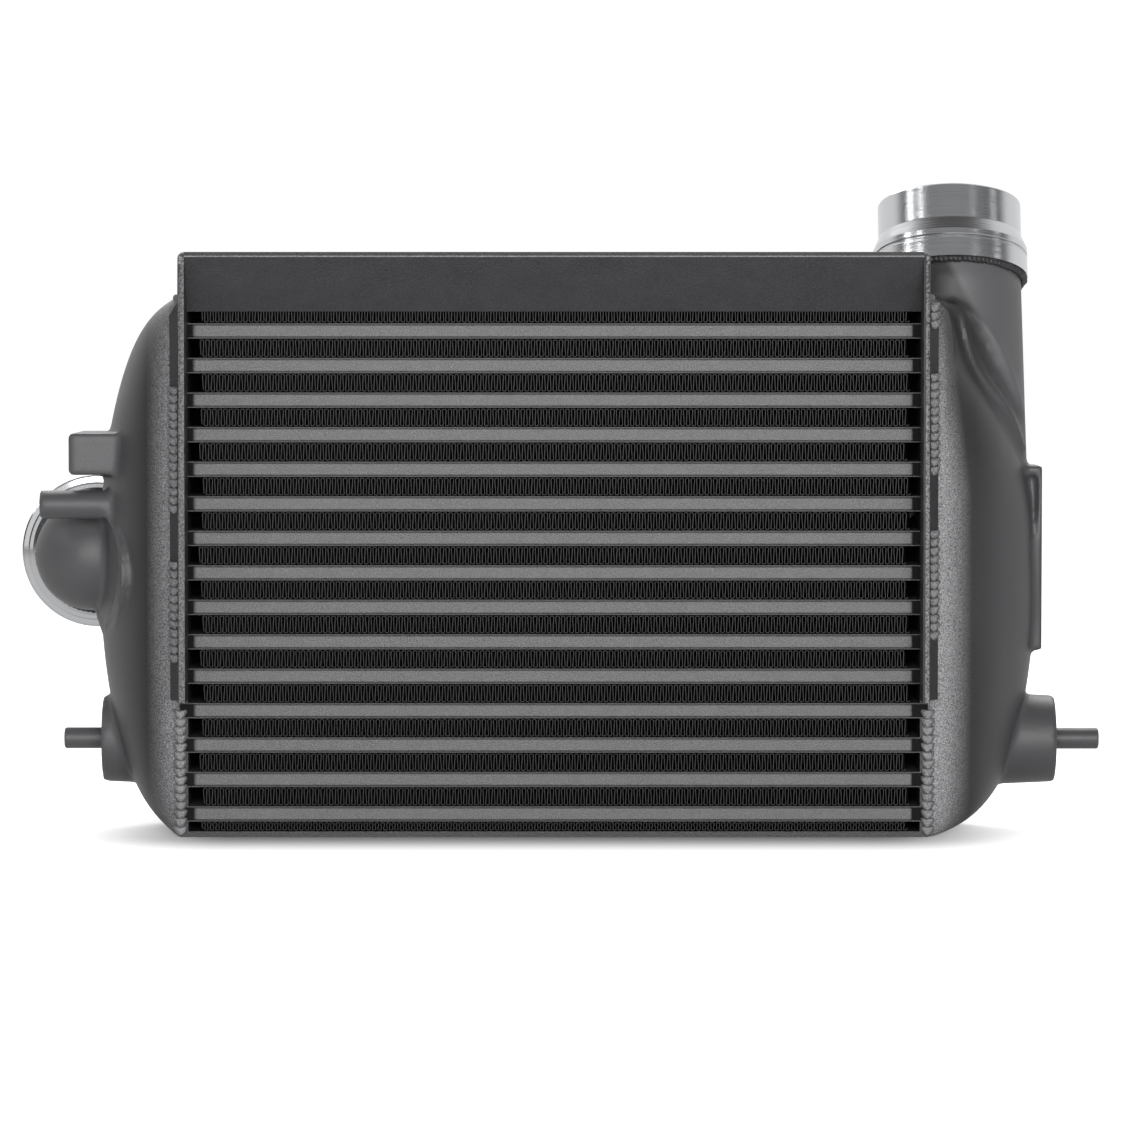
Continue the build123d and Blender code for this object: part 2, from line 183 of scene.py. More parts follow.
def paintCastingLight(tree, coat, place, colour, speckle):  # painted highlight beside the seams, with a stronger bump there, and painted light on the outer side and the neck
    parts = addNode(tree, "ShaderNodeSeparateXYZ", {}, {"Vector": place})
    out = addNode(tree, "ShaderNodeMath", {"operation": "ABSOLUTE"}, {0: parts.outputs["X"]})
    narrowFrom, narrowTo = seamHighlightStrip["narrows"]
    narrower = addNode(tree, "ShaderNodeMapRange", {
        "From Min": narrowFrom * mm, "From Max": narrowTo * mm,
        "To Min": 0, "To Max": coat["narrowing"] * mm}, {"Value": parts.outputs["Z"]})
    outAndUp = addNode(tree, "ShaderNodeMath", {"operation": "ADD"}, {
        0: out.outputs["Value"], 1: narrower.outputs["Result"]})
    seamFrom, seamTo = coat["seamAt"]
    nearSeam = addNode(tree, "ShaderNodeMapRange", {
        "From Min": seamFrom * mm, "From Max": seamTo * mm, "To Min": 1, "To Max": 0},
        {"Value": outAndUp.outputs["Value"]})
    slant = addNode(tree, "ShaderNodeMath", {"operation": "MULTIPLY_ADD", 1: seamHighlightStrip["neckSlant"]}, {
        0: parts.outputs["X"], 2: parts.outputs["Z"]})
    belowNeck = addNode(tree, "ShaderNodeMapRange", {
        "From Min": (coat["neckFrom"] - seamHighlightStrip["neckFade"]) * mm, "From Max": coat["neckFrom"] * mm,
        "To Min": 1, "To Max": 0}, {"Value": slant.outputs["Value"]})
    endFrom, endTo = seamHighlightStrip["ends"]
    belowTop = addNode(tree, "ShaderNodeMapRange", {
        "From Min": endFrom * mm, "From Max": endTo * mm, "To Min": 1, "To Max": 0},
        {"Value": parts.outputs["Z"]})
    inStrip = addNode(tree, "ShaderNodeMath", {"operation": "MULTIPLY"}, {
        0: nearSeam.outputs["Result"], 1: belowTop.outputs["Result"]})
    seamHighlit = addNode(tree, "ShaderNodeMath", {"operation": "MULTIPLY"}, {
        0: inStrip.outputs["Value"], 1: belowNeck.outputs["Result"]})
    # painted light: lighter towards the outer side
    outerFrom, outerTo = coat["outerAt"]
    farOut = addNode(tree, "ShaderNodeMapRange", {
        "From Min": outerFrom * mm, "From Max": outerTo * mm}, {"Value": out.outputs["Value"]})
    outer = addNode(tree, "ShaderNodeMix", {"data_type": "RGBA", 7: toLinear(coat["outerLitColour"])}, {
        "Factor": farOut.outputs["Result"]})
    tree.links.new(colour.outputs[2], outer.inputs[6])
    # painted light: lighter on the neck
    neck = addNode(tree, "ShaderNodeMix", {"data_type": "RGBA", 6: toLinear(coat["neckLitColour"])}, {
        "Factor": belowNeck.outputs["Result"]})
    tree.links.new(outer.outputs[2], neck.inputs[7])
    # painted highlight beside the seams, speckled
    seam = addNode(tree, "ShaderNodeMix", {
        "data_type": "RGBA", 6: toLinear(coat["seamHighlightDark"]), 7: toLinear(coat["seamHighlightColour"])},
        {"Factor": speckle.outputs["Result"]})
    whole = addNode(tree, "ShaderNodeMix", {"data_type": "RGBA"}, {"Factor": seamHighlit.outputs["Value"]})
    tree.links.new(neck.outputs[2], whole.inputs[6])
    tree.links.new(seam.outputs[2], whole.inputs[7])
    return whole, seamHighlit


# what lies in front of edgeAt is a sheared edge: painted shade on it, with a painted highlight along one band
def paintEdgeLight(tree, coat, place, colour, speckle):
    parts = addNode(tree, "ShaderNodeSeparateXYZ", {}, {"Vector": place})
    onEdge = addNode(tree, "ShaderNodeMath", {"operation": "LESS_THAN", 1: coat["edgeAt"] * mm},
                     {0: parts.outputs["Y"]})
    inBand = addNode(tree, "ShaderNodeMath", {
        "operation": "COMPARE", 1: coat["bandMiddle"] * mm, 2: coat["bandHalf"] * mm},
        {0: parts.outputs[coat["bandAxis"]]})
    edgeHighlit = addNode(tree, "ShaderNodeMath", {"operation": "MULTIPLY"}, {
        0: onEdge.outputs["Value"], 1: inBand.outputs["Value"]})
    # painted highlight along the band, speckled
    edge = addNode(tree, "ShaderNodeMix", {
        "data_type": "RGBA", 6: toLinear(coat["edgeHighlightDark"]), 7: toLinear(coat["edgeHighlightLight"])},
        {"Factor": speckle.outputs["Result"]})
    # painted shade on the rest of the edge
    rim = addNode(tree, "ShaderNodeMix", {"data_type": "RGBA", 7: toLinear(coat["edgeShadeColour"])}, {
        "Factor": onEdge.outputs["Value"]})
    tree.links.new(colour.outputs[2], rim.inputs[6])
    whole = addNode(tree, "ShaderNodeMix", {"data_type": "RGBA"}, {"Factor": edgeHighlit.outputs["Value"]})
    tree.links.new(rim.outputs[2], whole.inputs[6])
    tree.links.new(edge.outputs[2], whole.inputs[7])
    return whole


def shadeWith(tree, darkColour, lit, colour, rough):  # painted shade, dark and dull, where lit is 0; the coat's own colour where it is 1
    shaded = addNode(tree, "ShaderNodeMix", {"data_type": "RGBA", 6: toLinear(darkColour)}, {"Factor": lit})
    tree.links.new(colour.outputs[2], shaded.inputs[7])
    dull = addNode(tree, "ShaderNodeMath", {"operation": "SUBTRACT", 0: 1}, {1: lit})
    rougher = addNode(tree, "ShaderNodeMath", {"operation": "MAXIMUM"}, {0: rough, 1: dull.outputs["Value"]})
    return shaded, rougher.outputs["Value"]


def shadeCorners(tree, coat, place, colour, rough):  # painted shade in the corners beside the plates
    parts = addNode(tree, "ShaderNodeSeparateXYZ", {}, {"Vector": place})
    left, right = coat["cornerFrom"]
    leftCorner = addNode(tree, "ShaderNodeMapRange", {
        "From Min": (-cornerShade["before"] - left) * mm, "From Max": (cornerShade["fade"] - left) * mm},
        {"Value": parts.outputs["X"]})
    rightCorner = addNode(tree, "ShaderNodeMapRange", {
        "From Min": right * mm, "From Max": (right - cornerShade["fade"]) * mm},
        {"Value": parts.outputs["X"]})
    unshaded = addNode(tree, "ShaderNodeMath", {"operation": "MULTIPLY"}, {
        0: leftCorner.outputs["Result"], 1: rightCorner.outputs["Result"]})
    return shadeWith(tree, coat["cornerShadeColour"], unshaded.outputs["Value"], colour, rough)


def shadeDepth(tree, coat, place, colour, rough):  # painted shade nearer to the middle than depthAt
    parts = addNode(tree, "ShaderNodeSeparateXYZ", {}, {"Vector": place})
    reach = addNode(tree, "ShaderNodeMath", {"operation": "ABSOLUTE"}, {0: parts.outputs["Y"]})
    lit = addNode(tree, "ShaderNodeMapRange", {
        "From Min": (coat["depthAt"] - coat["depthFade"]) * mm, "From Max": coat["depthAt"] * mm},
        {"Value": reach.outputs["Value"]})
    return shadeWith(tree, coat["depthShadeColour"], lit.outputs["Result"], colour, rough)


def coatFinish(name, coat):  # a sprayed satin coat over bare or cast metal
    material, tree, shader, place = startFinish(name, {
        "Metallic": coat["metallic"], "IOR": sprayCoat["ior"], "Specular IOR Level": coat["gloss"]})
    mottle = addNode(tree, "ShaderNodeTexNoise", {
        "Scale": 1 / (coat["mottleSize"] * mm), "Detail": 3, "Roughness": 0.6}, {"Vector": place})
    grain = addNode(tree, "ShaderNodeTexNoise", {
        "Scale": 1 / (coat["grainSize"] * mm), "Detail": 2, "Roughness": 0.5}, {"Vector": place})
    tone = addNode(tree, "ShaderNodeMapRange", {
        "From Min": 0.3, "From Max": 0.7, "To Min": 0, "To Max": 1}, {"Value": mottle.outputs["Fac"]})
    speckle = addNode(tree, "ShaderNodeMapRange", {
        "From Min": 0.35, "From Max": 0.65, "To Min": 0, "To Max": 1}, {"Value": grain.outputs["Fac"]})
    share = addNode(tree, "ShaderNodeMath", {"operation": "MULTIPLY_ADD", 1: coat["speckle"]},
                    {0: speckle.outputs["Result"]})
    addedTone = addNode(tree, "ShaderNodeMath", {"operation": "MULTIPLY", 1: 1 - coat["speckle"]},
                        {0: tone.outputs["Result"]})
    tree.links.new(addedTone.outputs["Value"], share.inputs[2])
    colour = addNode(tree, "ShaderNodeMix", {
        "data_type": "RGBA", 6: toLinear(coat["dark"]), 7: toLinear(coat["light"])},
        {"Factor": share.outputs["Value"]})
    rough = addNode(tree, "ShaderNodeMapRange", {
        "To Min": coat["roughness"] - sprayCoat["roughSpread"],
        "To Max": coat["roughness"] + sprayCoat["roughSpread"]},
        {"Value": mottle.outputs["Fac"]}).outputs["Result"]
    bump = addNode(tree, "ShaderNodeBump", {
        "Strength": coat["bump"], "Distance": coat.get("bumpDepth", coat["grainSize"]) * mm},
        {"Height": grain.outputs["Fac"]})
    # painted highlight beside the seams and painted light on the outer side and neck of a casting
    if "seamAt" in coat:
        colour, seamHighlit = paintCastingLight(tree, coat, place, colour, speckle)
        share = addNode(tree, "ShaderNodeMapRange", {"To Min": coat["smoothBump"], "To Max": coat["bump"]}, {
            "Value": seamHighlit.outputs["Value"]})
        tree.links.new(share.outputs["Result"], bump.inputs["Strength"])
    # painted highlight and painted shade on the sheared edges
    if "edgeAt" in coat:
        colour = paintEdgeLight(tree, coat, place, colour, speckle)
    # painted shade in the corners beside the plates
    if "cornerFrom" in coat:
        colour, rough = shadeCorners(tree, coat, place, colour, rough)
    # painted shade in the depth
    if "depthAt" in coat:
        colour, rough = shadeDepth(tree, coat, place, colour, rough)
    tree.links.new(colour.outputs[2], shader.inputs["Base Color"])
    tree.links.new(rough, shader.inputs["Roughness"])
    tree.links.new(bump.outputs["Normal"], shader.inputs["Normal"])
    return material


# Satin black spray coat on brazed aluminium sheet: dark and even, with a faint orange peel.
coreCoat = coatFinish("satinCoatOnSheet", {
    "dark": "#242425", "light": "#323233", "mottleSize": 18, "grainSize": 0.9, "speckle": 0.6,
    "roughness": 0.5, "metallic": 0, "gloss": 0.5, "bump": 0.3})
# The same coat on the sheets between the rows, with painted shade that turns them black farther in than their
# front and rear edges.
innerCoat = coatFinish("satinCoatOnSeparatorSheet", {
    "dark": "#262627", "light": "#343435", "mottleSize": 18, "grainSize": 0.9, "speckle": 0.6,
    "roughness": 0.5, "metallic": 0, "gloss": 0.5, "bump": 0.3,
    "depthAt": 47.3, "depthFade": 3, "depthShadeColour": "#070707"})
# The same coat on drawn bars, painted lighter than on the sheet as painted light on the faces that stand
# foremost, with painted shade in the corners beside the plates.
barCoat = coatFinish("satinCoatOnBar", {
    "dark": "#444446", "light": "#717172", "mottleSize": 9, "grainSize": 0.6, "speckle": 0.8,
    "roughness": 0.45, "metallic": 0, "gloss": 0.5, "bump": 0.4,
    "cornerFrom": (187.6, 187.0), "cornerShadeColour": "#0a0a0a"})
# Thin satin coat on folded fin strip: dark grey on the edges, with painted shade turning it black in the
# depth.
finCoat = coatFinish("oversprayedFinStrip", {
    "dark": "#161617", "light": "#252526", "mottleSize": 6, "grainSize": 0.9, "speckle": 0.6,
    "roughness": 0.5, "metallic": 0, "gloss": 0.28, "bump": 0.1,
    "depthAt": 46.85, "depthFade": 0.2, "depthShadeColour": "#020202"})
# Satin coat over a sand casting: the grain of the mould shows through.
castLook = {"mottleSize": 26, "grainSize": 0.65, "speckle": 0.6, "roughness": 0.45, "metallic": 0,
            "gloss": 0.45, "bump": 0.9, "bumpDepth": 0.4, "smoothBump": 0.3}
# each casting's seam, outer and neck colours are painted highlight and painted light
castCoat = {
    "inlet": coatFinish("satinCoatOnInletCasting", {
        **castLook, "dark": "#1a1a1b", "light": "#262627", "seamHighlightDark": "#424244", "seamHighlightColour": "#909092",
        "seamAt": (202, 213), "narrowing": 0, "outerAt": (212, 232), "outerLitColour": "#505052",
        "neckFrom": 900, "neckLitColour": "#505052"}),
    "outlet": coatFinish("satinCoatOnOutletCasting", {
        **castLook, "dark": "#2a2a2b", "light": "#363637", "seamHighlightDark": "#59595a", "seamHighlightColour": "#aaaaac",
        "seamAt": (204, 218), "narrowing": 12, "outerAt": (220, 236), "outerLitColour": "#4a4a4c",
        "neckFrom": 720, "neckLitColour": "#606062"})}
# Satin coat on bent plate, smoother than the casting, with painted shade and a painted highlight on its
# sheared edges.
plateLook = {"dark": "#363638", "light": "#4a4a4c", "mottleSize": 14, "grainSize": 0.9, "speckle": 0.7,
             "roughness": 0.5, "metallic": 0, "gloss": 0.5, "bump": 0.4, "edgeAt": -73.2}
plateCoat = {
    "inlet_frame_plate": coatFinish("satinCoatOnInletPlate", {
        **plateLook, "edgeHighlightDark": "#343435", "edgeHighlightLight": "#767677", "edgeShadeColour": "#101011",
        "bandAxis": "X", "bandMiddle": -192.4, "bandHalf": 1.55}),
    "outlet_frame_plate": coatFinish("satinCoatOnOutletPlate", {
        **plateLook, "edgeHighlightDark": "#202021", "edgeHighlightLight": "#88888a", "edgeShadeColour": "#101011",
        "bandAxis": "X", "bandMiddle": 193.0, "bandHalf": 1.0}),
    "hood": coatFinish("satinCoatOnHood", {
        **plateLook, "edgeHighlightDark": "#747476", "edgeHighlightLight": "#98989a", "edgeShadeColour": "#060606",
        "bandAxis": "Z", "bandMiddle": 302.6, "bandHalf": 0.4})}
# Satin coat on weld metal: glossier than the sheet, so that each ripple catches the light, and painted
# lighter than the sheet as a painted highlight on the ripples.
weldCoat = coatFinish("satinCoatOnWeld", {
    "dark": "#48484a", "light": "#828284", "mottleSize": 4, "grainSize": 0.9, "speckle": 0.5,
    "roughness": 0.4, "metallic": 0, "gloss": 0.8, "bump": 0.5})
# The same coat painted darker, as painted shade, on the smooth gaps of a seam and round the port rings.
gapShadeCoat = coatFinish("satinCoatOnWeldGapShade", {
    "dark": "#202022", "light": "#343436", "mottleSize": 6, "grainSize": 0.9, "speckle": 0.5,
    "roughness": 0.5, "metallic": 0, "gloss": 0.5, "bump": 0.3})


def turnedFinish(name, metal):  # bright turned aluminium: fine rings round the part's own axis
    material, tree, shader, place = startFinish(name, {
        "Base Color": toLinear(metal["colour"]), "Metallic": 1, "Roughness": metal["roughness"],
        "Anisotropic": metal["anisotropy"]})
    turned = addNode(tree, "ShaderNodeMapping", {
        "vector_type": "TEXTURE", "Location": metal["centre"], "Rotation": (-radians(metal["lean"]), 0, 0)},
        {"Vector": place})
    cuts = addNode(tree, "ShaderNodeTexNoise", {
        "noise_dimensions": "1D", "Scale": 1 / (metal["cutPitch"] * mm), "Detail": 2}, {})
    parts = addNode(tree, "ShaderNodeSeparateXYZ", {}, {"Vector": turned.outputs["Vector"]})
    tree.links.new(parts.outputs["Z"], cuts.inputs["W"])
    bump = addNode(tree, "ShaderNodeBump", {
        "Strength": metal["bump"], "Distance": metal["cutDepth"] * mm}, {"Height": cuts.outputs["Fac"]})
    tree.links.new(bump.outputs["Normal"], shader.inputs["Normal"])
    return material


# port rings: middle of the foot in metres, lean from upright in degrees, and radius of the weld in mm
ringPlace = {
    "inlet": {"centre": (-0.2469, 0.058, 0.145), "lean": 90, "weldRadius": 31},
    "outlet": {"centre": (0.211, 0.024, 0.2915), "lean": 18, "weldRadius": 38.5}}
turnedMetal = {
    "colour": "#c4c5c7", "roughness": 0.2, "anisotropy": 0.4, "cutPitch": 0.5, "cutDepth": 0.2, "bump": 0.25}
turnedAluminium = {
    word: turnedFinish("turnedAluminium" + word.title(), {**turnedMetal, **place})
    for word, place in ringPlace.items()}

# Mill-finished strip inside the passages: pale, dull and even.
stripMetal = {"dark": "#a4a5a7", "light": "#babbbd", "roughness": 0.45, "mottleSize": 3}
strip, stripTree, stripShader, stripPlace = startFinish("millFinishStrip", {
    "Metallic": 1, "Roughness": stripMetal["roughness"]})
stripTone = addNode(stripTree, "ShaderNodeTexNoise", {"Scale": 1 / (stripMetal["mottleSize"] * mm)}, {
    "Vector": stripPlace})
stripColour = addNode(stripTree, "ShaderNodeMix", {
    "data_type": "RGBA", 6: toLinear(stripMetal["dark"]), 7: toLinear(stripMetal["light"])},
    {"Factor": stripTone.outputs["Fac"]})
stripTree.links.new(stripColour.outputs[2], stripShader.inputs["Base Color"])
print("finishes made")

slotFinishes = {
    "core_coat": coreCoat, "bar_coat": barCoat, "fin_coat": finCoat,
    "weld_coat": weldCoat, "bare_aluminium": strip}
nodeSlots = {row["node"]: row["material_slot"] for row in frame["record"]["subparts"]}
for name, node in nodes.items():
    slotName = nodeSlots[name]
    if slotName == "machined_aluminium":
        chosen = turnedAluminium[name.split("_")[0]]
    elif slotName == "frame_coat":
        chosen = plateCoat[name]
    elif slotName == "tank_coat":
        chosen = castCoat[name.split("_")[0]]
    elif name == "separator_sheets":
        chosen = innerCoat
    else:
        chosen = slotFinishes[slotName]
    node.data.materials.clear()
    node.data.materials.append(chosen)


# cooling fins: one wave of a thin strip, folded to and fro, repeated along each row and waved in depth
finStrip = {
    "pitch": 2.92, "sheet": 0.32, "bulge": 1.3, "bendSteps": 5, "shake": 0.4, "shakeSize": 5,
    "drawn": 0.5, "drawnDepth": 1.8,  # the front folds are dressed in from the sheets
    "depths": (28.2, 30, 33.8), "sways": (3.2, -3.6, 3.4),  # each stretch of the depth, and how far it leans
    "ends": 2.2,  # bare ends of a row
    "starts": (0, 0.9, -0.9, 0.5, 1.4, -0.4, 0.9, 0.1, -1.0, 0.7, 1.3, -0.6, 0.3, 1.0, -0.2, 0.6)}
airStop = {"depth": 52, "wide": 14, "sheet": 0.5}  # a thin strip at each end of a row, behind its front


def makeFinStrip(name, low, high, strip):
    pitch, sheet, drawn = strip["pitch"] * mm, strip["sheet"] * mm, strip["drawn"] * mm
    height, middle = high.z - low.z, (low.z + high.z) / 2
    bend = pitch / 4
    leg = height - sheet - 2 * bend - 2 * drawn
    start = low.x + strip["ends"] * mm
    foot = low.z + sheet / 2 + bend + drawn
    bpy.ops.mesh.primitive_plane_add(size=1, location=(start, low.y, foot + leg / 2), rotation=(pi / 2, 0, 0))
    piece = bpy.context.object
    piece.name = name
    piece.scale = (sheet, leg, 1)
    placeMesh(piece)
    bpy.ops.object.mode_set(mode="EDIT")
    pick(piece, "EDGE", lambda at: at.z > foot + leg - hair)
    bpy.ops.mesh.spin(
        steps=strip["bendSteps"], angle=-pi, center=(start + bend, low.y, foot + leg), axis=(0, 1, 0))
    bpy.ops.mesh.extrude_region_move(TRANSFORM_OT_translate={"value": (0, 0, -leg)})
    bpy.ops.mesh.spin(
        steps=strip["bendSteps"], angle=pi, center=(start + 3 * bend, low.y, foot), axis=(0, 1, 0))
    swell = (strip["bulge"] - 1) * bend  # the bends are wider than half a wave, so the legs lean to and fro
    pick(piece, "VERT", lambda at: at.x < start + bend / 2 and at.z < foot + hair)
    bpy.ops.transform.translate(value=(swell, 0, 0))
    pick(piece, "VERT", lambda at: at.z > foot + leg - hair)
    bpy.ops.transform.resize(
        value=(strip["bulge"], 1, 1), center_override=(start + bend, low.y, foot + leg))
    pick(piece, "VERT", lambda at: at.x > start + bend and at.z < foot + hair)
    bpy.ops.transform.resize(value=(strip["bulge"], 1, 1), center_override=(start + 3 * bend, low.y, foot))
    bpy.ops.object.mode_set(mode="OBJECT")
    waves = int((high.x - low.x - strip["ends"] * mm) / pitch)
    shapeWith(piece, "ARRAY", {
        "count": waves, "use_relative_offset": False, "use_constant_offset": True,
        "constant_offset_displace": (pitch, 0, 0), "use_merge_vertices": True, "merge_threshold": 2 * hair})
    bpy.ops.object.mode_set(mode="EDIT")
    bpy.ops.mesh.select_all(action="SELECT")
    bpy.ops.mesh.extrude_region_move(TRANSFORM_OT_translate={"value": (0, strip["drawnDepth"] * mm, 0)})
    bpy.ops.transform.resize(value=(1, 1, height / (height - 2 * drawn)), center_override=(0, 0, middle))
    for depth, sway in zip(strip["depths"], strip["sways"]):
        bpy.ops.mesh.extrude_region_move(TRANSFORM_OT_translate={"value": (sway * mm, depth * mm, 0)})
    bpy.ops.object.mode_set(mode="OBJECT")
    faceOutwards(piece)
    return piece


finShake = roughTexture("finShake", finStrip["shakeSize"])
rows = sorted(name for name in nodes if name.startswith("cooling_fins"))
rowModel = makeFinStrip("finRowModel", *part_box(rows[1]), finStrip)
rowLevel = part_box(rows[1])[0].z
for index, row in enumerate(rows):
    name = f"finStrip{index + 1:02d}"
    if index == 0:  # the lowest row is lower than the others
        piece = makeFinStrip(name, *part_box(row), finStrip)
    else:
        piece = copyOf(rowModel, name)
        piece.location = (finStrip["starts"][index] * mm, 0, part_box(row)[0].z - rowLevel)
        placeMesh(piece)
    roughen(piece, finShake, finStrip["shake"], "X")
    finish(piece, finCoat, [row])
bpy.data.objects.remove(rowModel)

# the air stops lie deep in the core, so the fin coat's painted depth shade makes them black
for word, side in sides.items():
    width = airStop["wide"] * mm
    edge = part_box(word + "_end_bars")[1 if side < 0 else 0].x
    stops = []
    for row in rows:
        low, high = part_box(row)
        bpy.ops.mesh.primitive_plane_add(
            size=1, location=(edge - side * width / 2, low.y + airStop["depth"] * mm, (low.z + high.z) / 2),
            rotation=(pi / 2, 0, 0))
        stop = bpy.context.object
        stop.scale = (width, high.z - low.z, 1)
        placeMesh(stop)
        bpy.ops.object.mode_set(mode="EDIT")
        bpy.ops.mesh.select_all(action="SELECT")
        bpy.ops.mesh.extrude_region_move(TRANSFORM_OT_translate={"value": (0, airStop["sheet"] * mm, 0)})
        bpy.ops.object.mode_set(mode="OBJECT")
        stops.append(stop)
    piece = joinPieces(stops, word + "AirStops")
    faceOutwards(piece)
    finish(piece, finCoat, [])
print("fin strips made")


# weld ripples: one lens of weld metal, bowed and tilted over the one before it, and repeated along a seam
seamRipple = {"across": 3.7, "rise": 2.4, "along": 2.6, "step": 4.35, "bow": -1.6, "tilt": 6, "wobble": 0.5}
cornerRipple = {"across": 3.5, "rise": 2.4, "along": 2.5, "step": 4.4, "bow": -1.6, "tilt": 6, "wobble": 0.5}
weldLens = {  # shares of a lens's own size: how much of it is bowed and flattened
    "bowed": 0.3, "bowReach": 0.8, "topFrom": 0.5, "flatten": 0.8, "flattenAt": 0.7}
weldLumps = roughTexture("weldLumps", 5)


def makeRipples(name, start, run, along, across, out, ripple):
    count = max(1, int(run / ripple["step"]))
    bpy.ops.mesh.primitive_uv_sphere_add(segments=16, ring_count=10, radius=1)
    piece = bpy.context.object
    piece.name = name
    size = along * ripple["along"] + across * ripple["across"] + out * ripple["rise"]
    piece.scale = [abs(v) * mm for v in size]
    placeMesh(piece)
    bpy.ops.object.mode_set(mode="EDIT")
    pick(piece, "VERT", lambda at: abs(at.dot(across)) < weldLens["bowed"] * ripple["across"] * mm)
    bpy.ops.transform.translate(
        value=along * ripple["bow"] * mm, use_proportional_edit=True, proportional_edit_falloff="SMOOTH",
        proportional_size=weldLens["bowReach"] * ripple["across"] * mm)
    pick(piece, "VERT", lambda at: at.dot(out) > weldLens["topFrom"] * ripple["rise"] * mm)
    flat = Vector((1, 1, 1)) - weldLens["flatten"] * Vector([abs(v) for v in out])
    bpy.ops.transform.resize(value=flat, center_override=out * weldLens["flattenAt"] * ripple["rise"] * mm)
    bpy.ops.object.mode_set(mode="OBJECT")
    turn = -radians(ripple["tilt"]) if across.cross(along).dot(out) > 0 else radians(ripple["tilt"])
    piece.rotation_euler = Quaternion(across, turn).to_euler()
    piece.location = start
    placeMesh(piece)
    shapeWith(piece, "ARRAY", {
        "count": count, "use_relative_offset": False, "use_constant_offset": True,
        "constant_offset_displace": along * ripple["step"] * mm})
    roughen(piece, weldLumps, ripple["wobble"])
    faceOutwards(piece)
    return piece


upwards, backwards, sideways = Vector((0, 0, 1)), Vector((0, 1, 0)), Vector((1, 0, 0))
forwards = -backwards
coreLow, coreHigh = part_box("separator_sheets")[0].copy(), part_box("top_sheet")[1].copy()
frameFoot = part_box("inlet_frame_plate")[0].z
tankSeam = {  # mm: start of each seam, how much shorter than its edge it is, and how far back its top runs
    "foot": 4.8, "frontShort": 5, "rearShort": 4, "topStart": 5, "topRun": {"inlet": 95, "outlet": 30}}
for word, side in sides.items():
    seam, foot = side * coreHigh.x, tankSeam["foot"] * mm
    runs = [
        makeRipples(
            word + "Front", (seam, coreLow.y, foot), frameFoot / mm - tankSeam["frontShort"],
            upwards, sideways, forwards, seamRipple),
        makeRipples(
            word + "Rear", (seam, coreHigh.y, foot), coreHigh.z / mm - tankSeam["rearShort"],
            upwards, sideways, backwards, seamRipple),
        makeRipples(
            word + "Top", (seam, coreLow.y + tankSeam["topStart"] * mm, coreHigh.z), tankSeam["topRun"][word],
            backwards, sideways, upwards, seamRipple)]
    finish(joinPieces(runs, word + "SeamRipples"), weldCoat, [word + "_tank_weld"], 60)

frameSeam = {  # mm: start and shortest run, place of the first lens, and how far the bead's top is laid down
    "foot": 1, "shortest": 5, "out": 3.1, "forward": 2.3, "lift": 2, "beadDrop": 9, "beadEdge": 1}
smoothGaps = {"inlet": ((72, 93), (146, 171), (241, 277)), "outlet": ((74, 105), (164, 191), (245, 267))}
for word, side in sides.items():
    low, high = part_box(word + "_frame_weld")
    face = high.x if side < 0 else low.x
    out, front = face + side * frameSeam["out"] * mm, high.y - frameSeam["forward"] * mm
    runs, foot = [], low.z / mm + frameSeam["foot"]
    for gapFoot, gapTop in smoothGaps[word] + ((coreHigh.z / mm, 0),):
        if gapFoot - foot > frameSeam["shortest"]:
            runs.append(makeRipples(
                f"{word}Run{len(runs)}", (out, front, (foot + frameSeam["lift"]) * mm), gapFoot - foot,
                upwards, sideways, forwards, cornerRipple))
        foot = gapTop
    bead = cadCopy(word + "_frame_weld", word + "Bead")
    pick(bead, "VERT", lambda at: (
        at.z > high.z - hair and abs(at.x - face) > frameSeam["beadEdge"] * mm))
    bpy.ops.transform.translate(value=(0, 0, -frameSeam["beadDrop"] * mm))
    bpy.ops.object.mode_set(mode="OBJECT")
    # painted shade on the bead in the crease
    finish(bead, gapShadeCoat, [word + "_frame_weld"], 60)
    finish(joinPieces(runs, word + "FrameRipples"), weldCoat, [], 60)
print("weld ripples made")


# frame plates: the plate itself with its top corner dressed round, and a tack of weld where the hood meets it
plateCorner = {"radius": 3.2, "steps": 4, "reach": 4.1}
tackPlace = {"behind": 0.9, "below": 5.4, "run": 4.4}  # from the plate's front and top, mm
tackLump = {"across": 1.5, "rise": 0.9, "along": 1.2, "step": 2.1, "bow": 0, "tilt": 10, "wobble": 0.9}
for word, side in sides.items():
    low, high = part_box(word + "_frame_plate")
    outside = low.x if side < 0 else high.x
    piece = cadCopy(word + "_frame_plate", word + "DressedPlate")
    bpy.ops.mesh.dissolve_limited(angle_limit=radians(1))
    pick(piece, "EDGE", lambda at: (
        at.z > high.z - plateCorner["reach"] * mm and abs(at.x - outside) < hair))
    bpy.ops.mesh.bevel(offset=plateCorner["radius"] * mm, segments=plateCorner["steps"], affect="EDGES")
    bpy.ops.object.mode_set(mode="OBJECT")
    finish(piece, plateCoat[word + "_frame_plate"], [word + "_frame_plate"], 40)
    tackFoot = ((low.x + high.x) / 2, low.y + tackPlace["behind"] * mm, high.z - tackPlace["below"] * mm)
    tack = makeRipples(word + "CornerTack", tackFoot, tackPlace["run"], upwards, sideways, forwards, tackLump)
    finish(tack, weldCoat, [], 60)
print("frame plates made")


